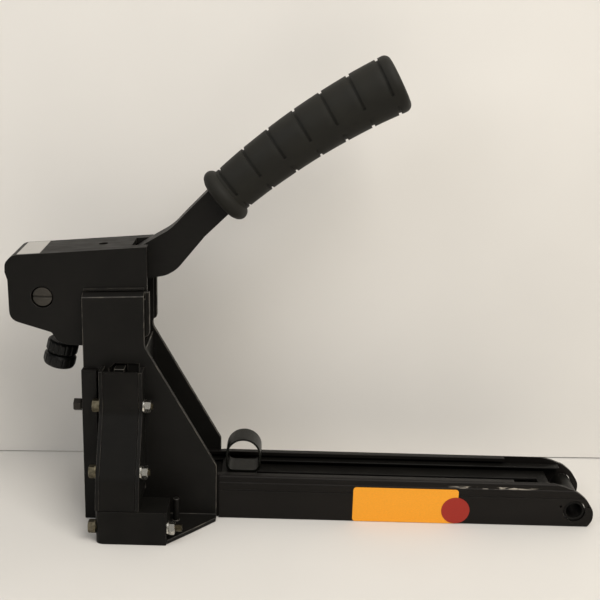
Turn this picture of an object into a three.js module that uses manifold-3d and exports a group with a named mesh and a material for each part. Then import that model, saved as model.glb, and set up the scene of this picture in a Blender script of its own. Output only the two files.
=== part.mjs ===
// Manual carton-closing stapler: a pivoting lever drives a ram, a driver blade and two clinching claws.
// Millimetres, +Z up, +X from the nose towards the magazine's tail. Sections are drawn from the
// column's front face (x = 0) and the whole group is then centred on its own length.
// Most pieces come in pairs: side = -1 is the near one (-Y), side = +1 is the far one (+Y).
import * as THREE from "three";
import { mergeVertices } from "three/addons/utils/BufferGeometryUtils.js";
import Module from "manifold-3d";

const wasm = await Module();
wasm.setup();

// ---------- driving dimensions ----------
const TAIL_X = 356; // end of the magazine rails

const HEAD_HALF = 18.4; // half width of the head casting
const HEAD_INNER = 15; // half width of its cavity
const PIVOT = { x: -27.4, z: 157 }; // lever pivot
const PLATE_INNER = 21.8; // side plates
const PLATE_OUTER = 25;
const COLUMN_LENGTH = 41.3;
const BLOCK_BOTTOM = 110; // lower edge of the plates' upper block
const GUSSET_X = 90.4; // rear edge of the side plates
const FLANGE_THICK = 3; // sole flange
const FOOT_HALF = 65; // half width over both feet
const FOOT_REAR = 59.8;
const FOOT_TOP = 22.8;
const FOOT_FRONT = 12.3;

const DRIVE_X = 25; // plane of the driver blade, the claws and the front staple
const STAPLE_HALF = 17.2; // half of the 35 mm staple crown, less clearance
const RAM_BOTTOM = 104;
const ROLLER = { x: 24.2, z: 172.8, r: 5 };

const CLAW_PIVOT = { y: 29.5, z: 19.5 };
const CLAW_RADIUS = 24; // middle of the curved claw blade
const CLAW_TIP_ANGLE = -47;
const HORN_RADIUS = 25;
const HORN_ANGLE = 55;

const RAIL_TOP = 32;
const RAIL_OUTER = 24;
const RAIL_INNER = 21;
const FLANGE_EDGE = 17.3; // inner edge of the rails' top flange
const FLANGE_END_X = 299; // the flange is cut back from here to the tail
const TAIL_HOLE = { x: 342.3, z: 12, r: 7.9 };
const LEDGE_EDGE = 13.5; // inner edge of the liners' ledges
const CORE_HALF = 16.2;
const CORE_TOP = 23.6;

const KNOB = { x: -19.9, z: 112.1, tilt: 14 }; // adjuster: the groove above its knob, leaning forward as it goes down

const BOLT_R = 2.5; // M5 hex bolts
const BOLT_HOLE_R = 2.8;
const HEX_CORNER_R = 8 / 2 / Math.cos(Math.PI / 6);
const CLAW_BOLTS = [
  { name: "upper", y: 34.1, z: 87, end: 41.2 },
  { name: "middle", y: 52.6, z: 47.2, end: 41.2 },
  { name: "lower", y: 59.5, z: 10.4, end: FOOT_REAR },
];

// ---------- materials ----------
const finish = (color, roughness, metalness) =>
  new THREE.MeshStandardMaterial({ color, roughness, metalness });
const FINISH = {
  paint: finish("#262624", 0.55, 0.2),
  anodised: finish("#2b2a29", 0.42, 0.6),
  blackSteel: finish("#201f1e", 0.45, 0.7),
  rubber: finish("#1d1d1c", 0.8, 0),
  plastic: finish("#191918", 0.5, 0),
  zinc: finish("#c9c8c2", 0.3, 0.9),
  steel: finish("#9b9a96", 0.35, 0.9),
};

// ---------- solids ----------
function solidOf(geometry) {
  const flat = geometry.index ? geometry.toNonIndexed() : geometry.clone();
  flat.deleteAttribute("normal");
  flat.deleteAttribute("uv");
  const merged = mergeVertices(flat, 1e-4);
  return new wasm.Manifold(
    new wasm.Mesh({
      numProp: 3,
      vertProperties: merged.attributes.position.array,
      triVerts: new Uint32Array(merged.index.array),
    }),
  );
}

function join(...solids) {
  return solids.reduce((whole, solid) => whole.add(solid));
}

function cut(solid, ...tools) {
  return tools.reduce((rest, tool) => rest.subtract(tool), solid);
}

// A closed outline from [u, v, setback] corners; a corner with a setback is rounded.
function outline(corners, holes = []) {
  const shape = new THREE.Shape();
  const count = corners.length;
  const towards = (from, to, distance) => {
    const span = Math.hypot(to[0] - from[0], to[1] - from[1]);
    const share = distance / span;
    return [from[0] + (to[0] - from[0]) * share, from[1] + (to[1] - from[1]) * share];
  };
  corners.forEach((corner, i) => {
    const setback = corner[2] ?? 0;
    const before = towards(corner, corners[(i + count - 1) % count], setback);
    const after = towards(corner, corners[(i + 1) % count], setback);
    if (i === 0) shape.moveTo(...before);
    else shape.lineTo(...before);
    if (setback > 0) shape.quadraticCurveTo(corner[0], corner[1], ...after);
  });
  shape.closePath();
  for (const hole of holes) {
    const path = new THREE.Path();
    path.absarc(hole.u, hole.v, hole.r, 0, 2 * Math.PI);
    shape.holes.push(path);
  }
  return shape;
}

function extrude(shape, depth, curveSegments) {
  return new THREE.ExtrudeGeometry(shape, { depth, bevelEnabled: false, curveSegments });
}

const AXES = {
  // outline (x, z), pushed along Y
  xz: (low, high) =>
    new THREE.Matrix4()
      .makeBasis(new THREE.Vector3(1, 0, 0), new THREE.Vector3(0, 0, 1), new THREE.Vector3(0, -1, 0))
      .setPosition(0, high, 0),
  // outline (y, z), pushed along X
  yz: (low) =>
    new THREE.Matrix4()
      .makeBasis(new THREE.Vector3(0, 1, 0), new THREE.Vector3(0, 0, 1), new THREE.Vector3(1, 0, 0))
      .setPosition(low, 0, 0),
  // outline (x, y), pushed along Z
  xy: (low) => new THREE.Matrix4().makeTranslation(0, 0, low),
};

// A slab of the outline between two planes; from and to may come in either order.
function slab(plane, corners, from, to, holes = [], curveSegments = 5) {
  const [low, high] = [Math.min(from, to), Math.max(from, to)];
  const geometry = extrude(outline(corners, holes), high - low, curveSegments);
  return solidOf(geometry.applyMatrix4(AXES[plane](low, high)));
}

// The same outline mirrored to one side of the tool: corners are given for +Y.
const mirrored = (corners, side) => corners.map(([y, z, setback]) => [side * y, z, setback]);

function box(x0, x1, y0, y1, z0, z1) {
  const geometry = new THREE.BoxGeometry(x1 - x0, Math.abs(y1 - y0), z1 - z0);
  geometry.translate((x0 + x1) / 2, (y0 + y1) / 2, (z0 + z1) / 2);
  return solidOf(geometry);
}

const TURN = {
  x: new THREE.Matrix4().makeRotationZ(-Math.PI / 2),
  y: new THREE.Matrix4(),
  z: new THREE.Matrix4().makeRotationX(Math.PI / 2),
};

// A round or polygonal bar along one axis, between two stations on it.
function bar(axis, from, to, r, centre, sides = 20, spin = 0) {
  const geometry = new THREE.CylinderGeometry(r, r, Math.abs(to - from), sides);
  geometry.rotateY(spin).applyMatrix4(TURN[axis]);
  const middle = (from + to) / 2;
  const place = { x: centre.x ?? 0, y: centre.y ?? 0, z: centre.z ?? 0 };
  place[axis] = middle;
  geometry.translate(place.x, place.y, place.z);
  return solidOf(geometry);
}

// A turned piece: profile points [radius, station] along +Z, closed on the axis or on itself.
function turned(profile, segments, matrix) {
  const geometry = new THREE.LatheGeometry(
    profile.map(([r, s]) => new THREE.Vector2(r, s)),
    segments,
  );
  geometry.rotateX(Math.PI / 2);
  return solidOf(geometry.applyMatrix4(matrix));
}

function coil(axisStart, axisEnd, coilR, wireR, turns) {
  const STEPS_PER_TURN = 10;
  class Helix extends THREE.Curve {
    getPoint(t, target = new THREE.Vector3()) {
      const angle = t * turns * 2 * Math.PI;
      return target
        .copy(axisStart)
        .lerp(axisEnd, t)
        .addScaledVector(across, coilR * Math.cos(angle))
        .addScaledVector(along, coilR * Math.sin(angle));
    }
  }
  const axis = axisEnd.clone().sub(axisStart).normalize();
  const across = new THREE.Vector3(0, 1, 0);
  const along = axis.clone().cross(across).normalize();
  const wire = new THREE.Shape().absarc(0, 0, wireR, 0, 2 * Math.PI);
  return solidOf(
    new THREE.ExtrudeGeometry(wire, {
      steps: Math.round(turns * STEPS_PER_TURN),
      curveSegments: 3,
      extrudePath: new Helix(),
    }),
  );
}

const model = new THREE.Group();

function addNode(name, solid, material) {
  const { vertProperties, triVerts, numProp } = solid.getMesh();
  if (numProp !== 3) throw new Error(`${name} has extra vertex properties`);
  const geometry = new THREE.BufferGeometry()
    .setAttribute("position", new THREE.BufferAttribute(new Float32Array(vertProperties), 3))
    .setIndex(new THREE.BufferAttribute(new Uint32Array(triVerts), 1));
  geometry.computeVertexNormals();
  const mesh = new THREE.Mesh(geometry, material);
  mesh.name = name;
  model.add(mesh);
}

const SIDES = [
  { side: -1, label: "near" },
  { side: 1, label: "far" },
];

// ---------- head ----------
// Axis of the adjuster: +s runs down and forward out of the nose.
const tilt = THREE.MathUtils.degToRad(KNOB.tilt);
const RING_TOP = -9.4;
const RING_END = -0.35;
const KNOB_END = 9.4;
const adjusterAxis = new THREE.Matrix4()
  .makeTranslation(KNOB.x, 0, KNOB.z)
  .multiply(new THREE.Matrix4().makeRotationY(Math.PI + tilt));

function headHousing() {
  const outer = [
    [-46.6, 185.2, 3], [-51.5, 179.8, 2.5], [-51.7, 173.5], [-50.1, 168.2], [-49.8, 140.6, 6],
    [-22, 132.4, 1], [-18.2, 126.4, 2], [-11.5, 123.8, 2], [12, 123.4], [COLUMN_LENGTH + 1.3, 131.8, 2],
    [COLUMN_LENGTH + 1.3, 193.4],
  ];
  const cavity = [
    [-46.8, 143.6, 3], [-20.2, 136.2], [-16.4, 130.6], [-11.6, 127.2], [1.8, 126.9], [1.8, 100],
    [60, 100], [60, 191], [-46.8, 181.4, 3],
  ];
  const shell = cut(
    slab("xz", outer, -HEAD_HALF, HEAD_HALF),
    slab("xz", cavity, -HEAD_INNER, HEAD_INNER),
    box(31.8, 60, -10.6, 10.6, 180, 200), // lever slot in the top
    bar("z", 180, 200, 3.2, { x: 11 }, 16), // oil hole
    bar("y", -30, 30, 7.5, PIVOT, 28), // pivot screw heads sit in this bore
    turned([[0, -40], [3.5, -40], [3.5, 0], [0, 0]], 20, adjusterAxis),
    turned([[0, RING_TOP - 1], [12, RING_TOP - 1], [12, 20], [0, 20]], 24, adjusterAxis),
  );
  // thin lips along both flanks, just above the column's shoulders
  const lip = (side) =>
    sloped(box(0.4, COLUMN_LENGTH - 0.6, side * (HEAD_HALF - 1), side * (HEAD_HALF + 1.8), 162.5, 163.8), SHOULDER_SLOPE);
  return join(shell, lip(-1), lip(1));
}

const SHOULDER_SLOPE = 0.045; // the shoulders rise towards the rear, with the head's top

// Shears a solid so that its height grows by slope per millimetre of x.
function sloped(solid, slope) {
  return solid.transform([1, 0, slope, 0, 0, 1, 0, 0, 0, 0, 1, 0, 0, 0, 0, 1]);
}

addNode("head_housing", headHousing(), FINISH.paint);

function pivotScrew() {
  const head = bar("y", -17.9, -15.6, 6.5, PIVOT, 28);
  const slot = box(PIVOT.x - 8, PIVOT.x + 8, -19, -16.8, PIVOT.z - 0.6, PIVOT.z + 0.6);
  return join(cut(head, slot), bar("y", -15.7, 15, 4, PIVOT, 20));
}

function pivotNut() {
  const head = bar("y", 15.6, 17.9, 6.5, PIVOT, 28);
  return cut(head, box(PIVOT.x - 8, PIVOT.x + 8, 16.8, 19, PIVOT.z - 0.6, PIVOT.z + 0.6));
}

addNode("pivot_screw", pivotScrew(), FINISH.blackSteel);
addNode("pivot_nut", pivotNut(), FINISH.blackSteel);

// ---------- adjuster under the nose ----------

// Shallow flutes round a turned rim, so that fingers can grip it.
function fluted(solid, rimR, from, to, count) {
  const fluteR = 1.1;
  let result = solid;
  for (let i = 0; i < count; i++) {
    const turn = new THREE.Matrix4().makeRotationZ((i * 2 * Math.PI) / count);
    const place = adjusterAxis.clone().multiply(turn).multiply(new THREE.Matrix4().makeTranslation(rimR + 0.5, 0, 0));
    result = result.subtract(turned([[0, from], [fluteR, from], [fluteR, to], [0, to]], 8, place));
  }
  return result;
}

addNode(
  "adjuster_lock_ring",
  fluted(
    turned([[3.4, RING_TOP], [9.4, RING_TOP], [10.8, RING_TOP + 1.4], [10.8, RING_END - 1.6], [9.4, RING_END],
      [3.4, RING_END], [3.4, RING_TOP]], 32, adjusterAxis),
    10.8, RING_TOP - 1, RING_END + 1, 16,
  ),
  FINISH.plastic,
);
addNode(
  "adjuster_knob",
  fluted(
    turned([[0, KNOB_END - 1.4], [3.3, KNOB_END - 1.4], [3.3, 0.35], [9.6, 0.35], [11.1, 1.8], [11.1, KNOB_END - 3], [10.2, KNOB_END - 0.9],
      [8.4, KNOB_END], [0, KNOB_END]], 32, adjusterAxis),
    11.1, -1, KNOB_END + 1, 16,
  ),
  FINISH.plastic,
);
addNode(
  "adjuster_screw",
  turned([[0, -31], [2.2, -31], [3, -30], [3, KNOB_END - 3.9], [0, KNOB_END - 3.9]], 20, adjusterAxis),
  FINISH.blackSteel,
);

// ---------- side plates: upper block, gusset and sole flange in one ----------
function sidePlate(side) {
  const wall = slab(
    "xz",
    [
      [-0.1, BLOCK_BOTTOM], [9.6, BLOCK_BOTTOM], [9.6, 0], [17, 0], [17, BLOCK_BOTTOM], [21.5, 114],
      [37.5, 114], [37.5, 0], [GUSSET_X, 0], [GUSSET_X, 40.3, 1.5], [COLUMN_LENGTH, 126.2, 2],
      [COLUMN_LENGTH, 161.2], [-0.1, 159.3],
    ],
    side * PLATE_INNER, side * PLATE_OUTER,
  );
  // a thinner web behind the block's lower edge, notched for the ram's arm
  const web = slab(
    "xz",
    [[17, 103], [20.6, 105], [20.6, 113], [29.4, 113], [29.4, 105], [37.5, 103], [37.5, 116], [17, 116]],
    side * PLATE_INNER, side * (PLATE_INNER + 1.6),
  );
  const shoulder = sloped(
    slab(
      "yz",
      mirrored([[PLATE_OUTER, 157], [PLATE_OUTER, 159.4], [20.8, 161.5], [18.7, 161.5], [PLATE_INNER, 159.6], [PLATE_INNER, 157]], side),
      -0.1, COLUMN_LENGTH,
    ),
    SHOULDER_SLOPE,
  );
  const flange = slab(
    "xy",
    [[37.5, 23], [FOOT_REAR + 0.3, 23], [GUSSET_X, 23], [GUSSET_X, 30], [75.4, 47], [FOOT_REAR + 0.3, 63.4],
      [FOOT_REAR + 0.3, 39.6], [41.6, 39.6], [41.6, 25], [37.5, 25]].map(([x, y]) => [x, side * y]),
    0, FLANGE_THICK,
  );
  const post = bar("z", 2, 19.5, 2.2, { x: 63.2, y: side * 34 }, 14);
  return join(wall, web, shoulder, flange, post);
}

function guidePlate(side) {
  return slab(
    "xz",
    [[10, 132, 3], [44.6, 132, 4], [44.6, 163.5], [COLUMN_LENGTH + 0.3, 163.5], [COLUMN_LENGTH + 0.3, 158.5], [10, 158.5]],
    side * 18.8, side * 21.4,
  );
}

function clawPlateOutline(side) {
  return mirrored(
    [[25.4, FOOT_TOP + 0.4], [62.6, FOOT_TOP + 0.4], [58.6, 43, 3], [37.5, 84.5, 4], [37.5, 112], [25.4, 112]],
    side,
  );
}

function clawPlate(side, x0, x1) {
  const bolts = CLAW_BOLTS.slice(0, 2).map((b) => bar("x", x0 - 1, x1 + 1, BOLT_HOLE_R, { y: side * b.y, z: b.z }, 16));
  const pin = bar("x", x0 - 1, x1 + 1, 2.8, { y: side * CLAW_PIVOT.y, z: CLAW_PIVOT.z + 6 }, 16);
  return cut(slab("yz", clawPlateOutline(side), x0, x1), ...bolts, pin);
}

function clawCover(side) {
  const outside = [[62.6, FOOT_TOP + 0.4], [58.6, 43, 3], [37.5, 84.5, 4], [37.5, 112]];
  const inside = [[36, 112], [36, 84.2, 4], [57.1, 42.7, 3], [61, FOOT_TOP + 0.4]];
  const reliefs = CLAW_BOLTS.slice(0, 2).map((b) => bar("x", 10, 45, BOLT_R + 0.2, { y: side * b.y, z: b.z }, 16));
  return cut(slab("yz", mirrored([...outside, ...inside], side), 15, 38.5), ...reliefs);
}

function footBlock(side) {
  const plan = [[FOOT_FRONT, 25.4], [33, 25.4], [38.4, 25.4], [38.4, 40], [FOOT_REAR, 40], [FOOT_REAR, FOOT_HALF, 1.2],
    [FOOT_FRONT, FOOT_HALF, 6]].map(([x, y, setback]) => [x, side * y, setback]);
  const block = slab("xy", plan, 0, FOOT_TOP);
  const face = slab("yz", mirrored([[FOOT_HALF + 1, 3], [FOOT_HALF, 3], [63, FOOT_TOP + 1], [FOOT_HALF + 1, FOOT_TOP + 1]], side), 0, 70);
  const clawSlot = box(17.5, 32.5, Math.min(side * 20, side * 58.5), Math.max(side * 20, side * 58.5), -1, 30);
  const { y, z } = CLAW_BOLTS[2];
  const boltHole = bar("x", 0, 70, BOLT_HOLE_R, { y: side * y, z }, 16);
  const pinHole = bar("x", 0, 70, 2.3, { y: side * CLAW_PIVOT.y, z: CLAW_PIVOT.z }, 16);
  return cut(block, face, clawSlot, boltHole, pinHole);
}

// Hex bolt with its washer, seated on the plane x = face and running towards +X.
function hexBolt(centre, face, end) {
  return join(
    bar("x", face - 1.2, face - 0.2, 4.9, centre, 20),
    bar("x", face - 5, face - 1.1, HEX_CORNER_R, centre, 6, Math.PI / 6),
    bar("x", face - 1, end, BOLT_R, centre, 16),
  );
}

function hexNut(centre, face) {
  const blank = join(
    bar("x", face + 0.2, face + 1.2, 4.9, centre, 20),
    bar("x", face + 1.1, face + 5.4, HEX_CORNER_R, centre, 6, Math.PI / 6),
  );
  return cut(blank, bar("x", face - 1, face + 10, BOLT_R + 0.25, centre, 16));
}

// ---------- claws ----------
const polar = (r, degrees, centre = CLAW_PIVOT) => {
  const angle = THREE.MathUtils.degToRad(degrees);
  return [centre.y + r * Math.cos(angle), centre.z + r * Math.sin(angle)];
};

function claw(side) {
  const half = 2.5;
  const bladeStart = CLAW_TIP_ANGLE;
  const bladeEnd = 8;
  const arc = (r, from, to, steps) =>
    Array.from({ length: steps + 1 }, (_, i) => polar(r, from + ((to - from) * i) / steps));
  const blade = [...arc(CLAW_RADIUS + 2.4, bladeStart, bladeEnd, 8), ...arc(CLAW_RADIUS - 2.6, bladeEnd, bladeStart - 3, 8)];
  const web = [polar(5, -60), polar(CLAW_RADIUS - 2, -8), polar(CLAW_RADIUS, 8), polar(5, 60)];
  const horn = [polar(2.6, HORN_ANGLE - 90), polar(HORN_RADIUS + 0.1, HORN_ANGLE - 5.9), polar(HORN_RADIUS + 0.1, HORN_ANGLE + 5.9),
    polar(2.6, HORN_ANGLE + 90)];
  const section = (corners) => slab("yz", mirrored(corners, side), DRIVE_X - half, DRIVE_X + half);
  const pivot = { y: side * CLAW_PIVOT.y, z: CLAW_PIVOT.z };
  const [hornY, hornZ] = polar(HORN_RADIUS, HORN_ANGLE);
  return cut(
    join(
      section(blade),
      section(web),
      section(horn),
      bar("x", DRIVE_X - half, DRIVE_X + half, 6, pivot, 24),
      bar("x", DRIVE_X - half, DRIVE_X + half, 2.6, { y: side * hornY, z: hornZ }, 16),
    ),
    bar("x", 10, 40, 2.4, pivot, 20),
  );
}

for (const { side, label } of SIDES) {
  addNode(`${label}_side_plate`, sidePlate(side), FINISH.paint);
  addNode(`${label}_guide_plate`, guidePlate(side), FINISH.blackSteel);
  addNode(`${label}_front_claw_plate`, clawPlate(side, FOOT_FRONT, 14.7), FINISH.paint);
  addNode(`${label}_rear_claw_plate`, clawPlate(side, 38.8, 41.2), FINISH.paint);
  addNode(`${label}_claw_cover`, clawCover(side), FINISH.paint);
  addNode(`${label}_foot_block`, footBlock(side), FINISH.paint);
  addNode(`${label}_claw`, claw(side), FINISH.steel);
  addNode(
    `${label}_claw_pin`,
    bar("x", 14.9, 37.2, 2.1, { y: side * CLAW_PIVOT.y, z: CLAW_PIVOT.z }, 16),
    FINISH.steel,
  );
  for (const bolt of CLAW_BOLTS) {
    const centre = { y: side * bolt.y, z: bolt.z };
    const thread = bolt.name === "lower" ? 10 : 6.6;
    addNode(`${label}_${bolt.name}_bolt`, hexBolt(centre, FOOT_FRONT, bolt.end + thread), FINISH.zinc);
    addNode(`${label}_${bolt.name}_nut`, hexNut(centre, bolt.end), FINISH.zinc);
  }
}

// ---------- column ----------
const FRONT_BLOCK_BACK = 9.2;
const STOP_SCREW = { y: 0, z: 73.2 };

function frontBlock() {
  return cut(
    join(
      box(-0.7, FRONT_BLOCK_BACK, -29.2, 29.2, 0, BLOCK_BOTTOM - 0.4),
      box(0.4, 6, -21.4, 21.4, 100, 123),
    ),
    bar("x", -5, 20, 3.2, STOP_SCREW, 16),
  );
}

addNode("front_block", frontBlock(), FINISH.paint);
addNode(
  "front_stop_screw",
  join(
    bar("x", -12.1, -6.8, 4.6, STOP_SCREW, 6, 0),
    bar("x", -7, 8.8, 2.9, STOP_SCREW, 16),
  ),
  FINISH.blackSteel,
);
addNode(
  "front_stop_locknut",
  cut(bar("x", -5.8, -1, 5.2, STOP_SCREW, 6, 0), bar("x", -7, 1, 3.2, STOP_SCREW, 16)),
  FINISH.blackSteel,
);

const GUIDE_TOP = 71.5;
const SPRING = { x: 15.2, y: 8, seat: 40, r: 3.4 };

addNode(
  "front_driver_guide",
  join(
    box(19.9, 23.7, -21.4, 21.4, 0.5, GUIDE_TOP),
    box(9.6, 20, -21.4, 21.4, SPRING.seat - 4, SPRING.seat - 0.3),
  ),
  FINISH.blackSteel,
);
addNode("back_driver_guide", box(26.4, 29.6, -21.4, 21.4, 33.5, GUIDE_TOP), FINISH.blackSteel);
addNode("rear_column_plate", box(38.6, COLUMN_LENGTH, -21.4, 21.4, 33.5, 122), FINISH.blackSteel);

function ram() {
  const body = box(11.2, 36, -14, 14, RAM_BOTTOM, 156);
  const tongue = box(20, 29, -4, 4, 155, ROLLER.z - ROLLER.r - 0.5);
  const pushArm = (side) =>
    join(
      box(21.5, 28.5, Math.min(side * 13, side * 31.2), Math.max(side * 13, side * 31.2), RAM_BOTTOM, 112),
      slab(
        "yz",
        mirrored([[26.6, 111], [31.2, 111], [31.2, 66], [49.2, 55.8], [49.2, 50.7], [41, 52.4], [33, 58.6], [26.6, 60]], side),
        21.5, 28.5,
      ),
    );
  const bladeSlot = box(23.9, 26.1, -STAPLE_HALF - 0.4, STAPLE_HALF + 0.4, RAM_BOTTOM - 1, 110.4);
  return cut(join(body, tongue, pushArm(-1), pushArm(1)), bladeSlot);
}

addNode("ram", ram(), FINISH.blackSteel);
addNode("driver_blade", box(24.2, 25.8, -STAPLE_HALF, STAPLE_HALF, 33, 110), FINISH.steel);

for (const { side, label } of SIDES) {
  const foot = new THREE.Vector3(SPRING.x, side * SPRING.y, SPRING.seat + 0.6);
  const head = new THREE.Vector3(SPRING.x, side * SPRING.y, RAM_BOTTOM - 1.2);
  addNode(`${label}_return_spring`, coil(foot, head, SPRING.r, 0.5, 11), FINISH.steel);
}

// ---------- lever ----------
// Centreline of the grip in (x, z), from its collar to its end.
const GRIP_LINE = new THREE.CatmullRomCurve3(
  [
    [89.3, 222.6], [114.1, 244.5], [146.3, 269.1], [180.6, 290.9], [205.6, 304.3],
  ].map(([x, z]) => new THREE.Vector3(x, 0, z)),
);

function leverArm() {
  const arm = [
    [-23.3, 145.7], [12, 166.8], [44, 169.4, 3], [54.4, 171.6, 3], [61.5, 176, 4], [80, 199.2], [97.5, 216.6], [83.6, 231.6],
    [79.2, 227], [65.8, 213, 6], [57.7, 203.8, 6], [44.5, 195.9, 2], [32, 188], [-8, 180], [-22, 167.8],
  ];
  const tang = [[92, 218.6], [112, 236], [104, 245.2], [84, 227.8]];
  const body = join(
    slab("xz", arm, -8, 8),
    bar("y", -8, 8, 12, PIVOT, 32),
    slab("xz", tang, -5, 5),
  );
  const rollerSlot = box(8, 38, -4.6, 4.6, 150, 181.5);
  return cut(
    body,
    rollerSlot,
    bar("y", -20, 20, 4.3, PIVOT, 20),
    bar("y", -20, 20, 2.4, ROLLER, 16),
  );
}

addNode("lever_arm", leverArm(), FINISH.paint);
addNode("lever_roller", cut(bar("y", -4.2, 4.2, ROLLER.r, ROLLER, 24), bar("y", -5, 5, 2.4, ROLLER, 16)), FINISH.steel);
addNode("roller_pin", bar("y", -8, 8, 2.1, ROLLER, 16), FINISH.steel);

// The grip's radius along its length: a rounded collar, then a body that swells to its end lip.
function gripRadius(distance, length) {
  const COLLAR_MIDDLE = 5.2;
  const COLLAR_HALF = 5.2;
  const body = 15.6 + (4.3 * distance) / length;
  const fromCollar = (distance - COLLAR_MIDDLE) / COLLAR_HALF;
  const collar = Math.abs(fromCollar) < 1 ? 14 + 5.6 * Math.sqrt(1 - fromCollar ** 2) : 0;
  const fromEnd = (length - distance) / 5;
  const rounding = fromEnd < 1 ? 5 * (1 - Math.sqrt(1 - (1 - fromEnd) ** 2)) : 0;
  return Math.max(body - rounding, collar);
}

function grip() {
  const AROUND = 28;
  const length = GRIP_LINE.getLength();
  const inCollar = Array.from({ length: 9 }, (_, i) => (i * 10.4) / 8);
  const inBody = Array.from({ length: 12 }, (_, i) => 12 + ((length - 18) * i) / 11);
  const inEnd = [3.6, 2.2, 1, 0.3, 0].map((d) => length - d);
  const stations = [...inCollar, ...inBody, ...inEnd];
  const points = [];
  for (const distance of stations) {
    const u = distance / length;
    const centre = GRIP_LINE.getPointAt(u);
    const ahead = GRIP_LINE.getTangentAt(u);
    const up = new THREE.Vector3(-ahead.z, 0, ahead.x);
    const r = gripRadius(distance, length);
    for (let i = 0; i < AROUND; i++) {
      const angle = (i * 2 * Math.PI) / AROUND;
      const point = centre.clone().addScaledVector(up, r * Math.cos(angle));
      point.y += 0.92 * r * Math.sin(angle);
      points.push(point.x, point.y, point.z);
    }
  }
  const rings = stations.length;
  const faces = [];
  for (let ring = 0; ring < rings - 1; ring++) {
    for (let i = 0; i < AROUND; i++) {
      const a = ring * AROUND + i;
      const b = ring * AROUND + ((i + 1) % AROUND);
      faces.push(a, a + AROUND, b, b, a + AROUND, b + AROUND);
    }
  }
  for (let i = 1; i < AROUND - 1; i++) {
    const last = (rings - 1) * AROUND;
    faces.push(0, i, i + 1, last, last + i + 1, last + i);
  }
  const geometry = new THREE.BufferGeometry()
    .setAttribute("position", new THREE.Float32BufferAttribute(points, 3))
    .setIndex(faces);
  const pocket = slab("xz", [[76, 204], [98, 215.8], [116.5, 232.6], [102.5, 250.2], [76, 227.4]], -8.5, 8.5);
  return cut(solidOf(geometry), pocket);
}

addNode("lever_grip", grip(), FINISH.rubber);

// ---------- magazine ----------
function rail(side) {
  const profile = [
    [17.6, 0], [RAIL_OUTER, 0, 0.8], [RAIL_OUTER, 21], [RAIL_OUTER - 0.5, 21.3], [RAIL_OUTER - 0.5, 21.9], [RAIL_OUTER, 22.2],
    [RAIL_OUTER, 27], [RAIL_OUTER - 0.6, 27.4], [RAIL_OUTER - 0.6, 28.6], [RAIL_OUTER - 0.6, RAIL_TOP, 2.2],
    [FLANGE_EDGE, RAIL_TOP, 0.5], [FLANGE_EDGE, 29.4], [RAIL_INNER, 29.4], [RAIL_INNER, 3], [17.6, 3],
  ];
  const bar3 = slab("yz", mirrored(profile, side), 33.6, TAIL_X, [], 3);
  const inPlates = box(0, GUSSET_X + 1.8, Math.min(side * 21.4, side * 40), Math.max(side * 21.4, side * 40), -5, 40);
  const flangeCut = box(FLANGE_END_X, 400, Math.min(side * 10, side * RAIL_INNER), Math.max(side * 10, side * RAIL_INNER), 28, 50);
  const tailEnvelope = slab(
    "xz",
    [[0, -1], [351.6, -1], [TAIL_X - 0.3, 4.4, 3], [TAIL_X, 12, 3.5], [350.6, 20.6, 3], [343.8, 26.2, 3], [334.5, 29.9, 3], [324, RAIL_TOP + 0.5],
      [0, RAIL_TOP + 0.5]],
    side * 10, side * 30,
  );
  const hole = bar("y", -40, 40, TAIL_HOLE.r, TAIL_HOLE, 28);
  const dimples = [
    { x: 332.4, z: 15.6 },
    { x: 352.1, z: 15.4 },
  ].map((centre) => bar("y", side * 22.8, side * 30, 1, centre, 10));
  return cut(bar3.intersect(tailEnvelope), inPlates, flangeCut, hole, ...dimples);
}

function railLiner(side) {
  const profile = [[19, 3.4], [20.6, 3.4], [20.6, 27.4], [LEDGE_EDGE, 27.4], [LEDGE_EDGE, 26.1], [19, 26.1]];
  const front = 34;
  const back = 339;
  const overSpacer = box(332, 400, Math.min(side * 10, side * 30), Math.max(side * 10, side * 30), 0, 22);
  return cut(slab("yz", mirrored(profile, side), front, back), overSpacer);
}

for (const { side, label } of SIDES) {
  addNode(`${label}_rail`, rail(side), FINISH.anodised);
  addNode(`${label}_rail_liner`, railLiner(side), FINISH.blackSteel);
}

addNode(
  "magazine_core",
  cut(
    box(27.4, 328, -CORE_HALF, CORE_HALF, 1, CORE_TOP),
    box(29.4, 400, -CORE_HALF + 1.8, CORE_HALF - 1.8, 0, CORE_TOP - 1.8),
    box(30.6, 320, -3, 3, CORE_TOP - 3, CORE_TOP + 1), // slot for the pusher's tab
  ),
  FINISH.blackSteel,
);

function tailSpacer() {
  const r = TAIL_HOLE.r - 0.4;
  return cut(bar("y", -23.2, 23.2, r, TAIL_HOLE, 28), bar("y", -30, 30, 5.6, TAIL_HOLE, 24));
}

addNode("tail_spacer", tailSpacer(), FINISH.blackSteel);

const PUSHER_BACK = 117.5;
function pusher() {
  return join(
    cut(
      box(30.4, PUSHER_BACK, -17.4, 17.4, 7, 25.5),
      box(20, 130, -CORE_HALF - 0.4, CORE_HALF + 0.4, 0, CORE_TOP + 0.4),
    ),
    box(92.6, PUSHER_BACK, -12.8, 12.8, 25.4, 28.6),
    box(100, 114, -2.5, 2.5, 14, 25),
  );
}
addNode("pusher", pusher(), FINISH.blackSteel);

const LOOP = { x: 108.1, r: 12.4, top: 54, bottom: 28.9, half: 9.5, sheet: 1.4 };

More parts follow.
